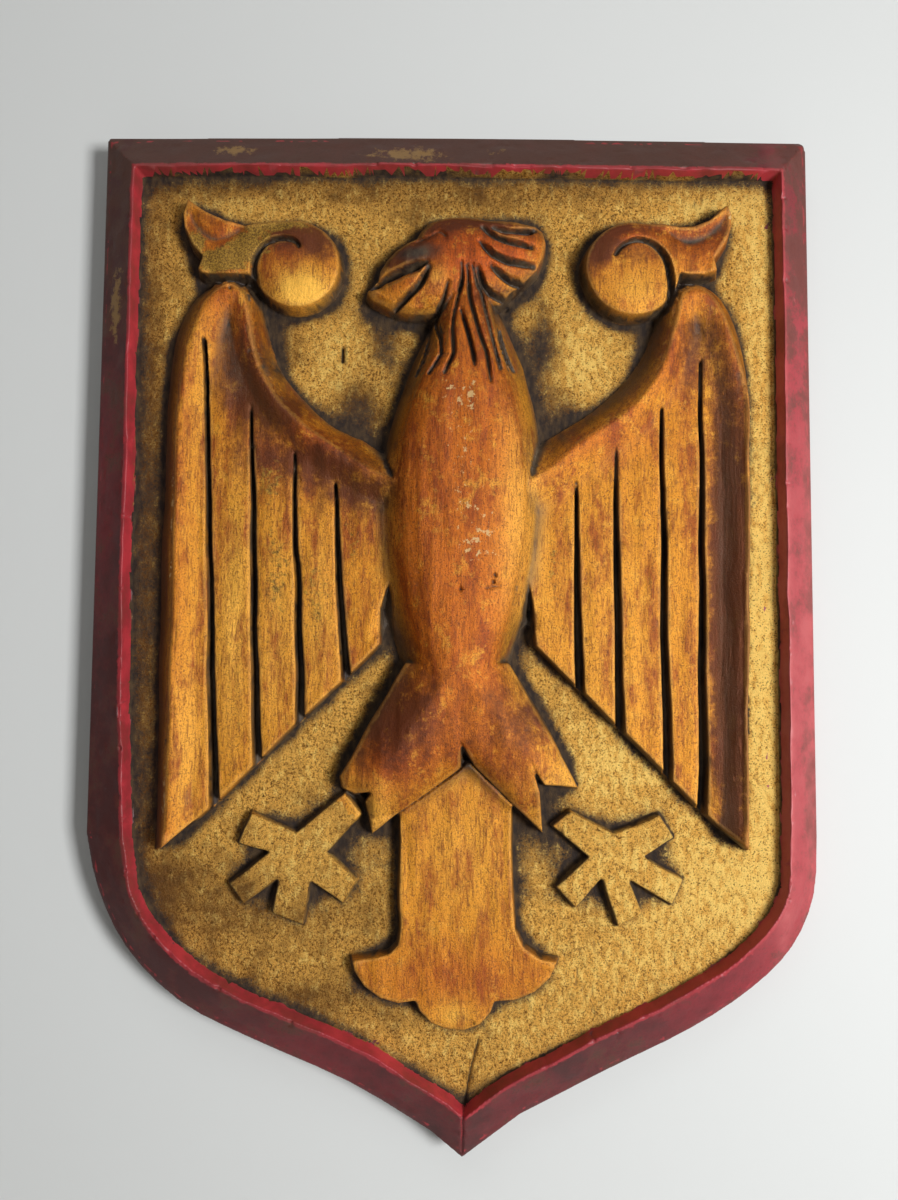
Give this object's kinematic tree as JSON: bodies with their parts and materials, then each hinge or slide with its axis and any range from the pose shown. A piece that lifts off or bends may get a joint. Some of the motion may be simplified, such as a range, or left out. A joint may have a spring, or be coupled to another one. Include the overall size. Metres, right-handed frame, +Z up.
{
  "type": "heraldic shield plaque",
  "caption": "Carved and painted wooden shield plaque: a displayed eagle in relief on a sunk, gilded field inside a bevelled red rim, with a flat back for the wall.",
  "frame": {"origin": "on the flat back, on the eagle's upright axis and halfway up the shield", "axes": "+Z up the shield, the carved face looks along -Y, +Y points into the wall, +X to the viewer's right"},
  "size_m": [0.2862, 0.0357, 0.404],
  "materials": {
    "carved_wood": "carved wood, gold paint rubbed over a dark ground, amber varnish on the eagle, worn red on the rim"
  },
  "bodies": {
    "root": {"carved_shield": "carved_wood"}
  },
  "joints": []
}
